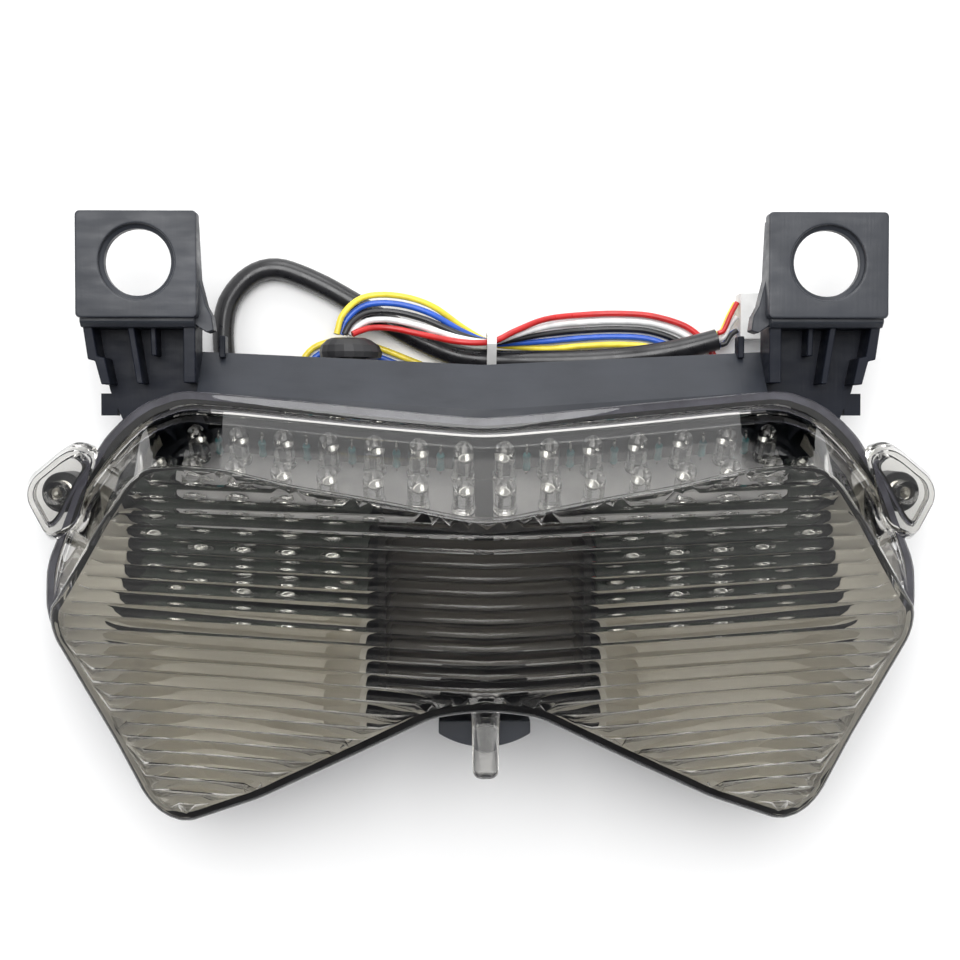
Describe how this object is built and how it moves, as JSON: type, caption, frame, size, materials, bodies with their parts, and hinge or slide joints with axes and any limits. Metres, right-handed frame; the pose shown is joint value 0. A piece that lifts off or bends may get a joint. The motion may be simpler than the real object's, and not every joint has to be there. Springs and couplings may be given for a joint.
{
  "type": "motorcycle LED tail light",
  "caption": "Butterfly-shaped LED tail light with a smoked fluted lens, black housing on two grommet-hole tabs, and a wiring pigtail.",
  "frame": {"origin": "bottom middle of the rigid lamp's bounding box, where it lies on its back on a flat surface", "axes": "+X towards the right end of the lamp as it lies, +Y from the lens tips towards the mounting tabs, +Z out of the lens"},
  "size_m": [0.2228, 0.1476, 0.0705],
  "materials": {
    "black_abs": "satin black ABS, lightly scuffed",
    "smoked_lens": "smoke-tinted clear PMMA, polished outside, fluted inside",
    "seal_rubber": "matt black sealing bead",
    "reflector_silver": "satin metallised plastic",
    "chamber_grey": "dark grey moulding",
    "white_board": "light solder resist",
    "green_board": "green solder resist",
    "clear_led": "clear epoxy",
    "resistor_teal": "lacquered",
    "screw_steel": "zinc plated",
    "grommet_rubber": "moulded rubber",
    "wire_yellow": "PVC insulation",
    "wire_blue": "PVC insulation",
    "wire_black": "PVC insulation",
    "wire_white": "PVC insulation",
    "wire_red": "PVC insulation",
    "sleeve_black": "soft PVC sleeve",
    "tie_white": "natural nylon"
  },
  "bodies": {
    "root": {"rear_housing": "black_abs", "lens_cover": "smoked_lens", "lens_seal": "seal_rubber", "reflector_left": "reflector_silver", "reflector_right": "reflector_silver", "centre_chamber": "chamber_grey", "plate_board_left": "white_board", "plate_board_right": "white_board", "plate_leds_left": "clear_led", "plate_leds_right": "clear_led", "signal_leds_left": "clear_led", "signal_leds_right": "clear_led", "signal_board_left": "green_board", "signal_board_right": "green_board", "resistors_left": "resistor_teal", "resistors_right": "resistor_teal", "inner_lead_left": "wire_red", "inner_lead_right": "wire_red", "board_screw_left_1": "screw_steel", "board_screw_left_2": "screw_steel", "board_screw_right_1": "screw_steel", "board_screw_right_2": "screw_steel", "ear_screw_left": "screw_steel", "ear_screw_right": "screw_steel", "wire_grommet": "grommet_rubber", "wire_yellow": "wire_yellow", "wire_blue": "wire_blue", "wire_black": "wire_black", "wire_white": "wire_white", "wire_red": "wire_red", "cable_sleeve": "sleeve_black", "cable_tie": "tie_white", "plug_housing": "tie_white", "plug_lead_red": "wire_red", "plug_lead_yellow": "wire_yellow", "plug_lead_white": "wire_white", "plug_lead_black": "wire_black", "plug_lead_blue": "wire_blue"}
  },
  "joints": []
}
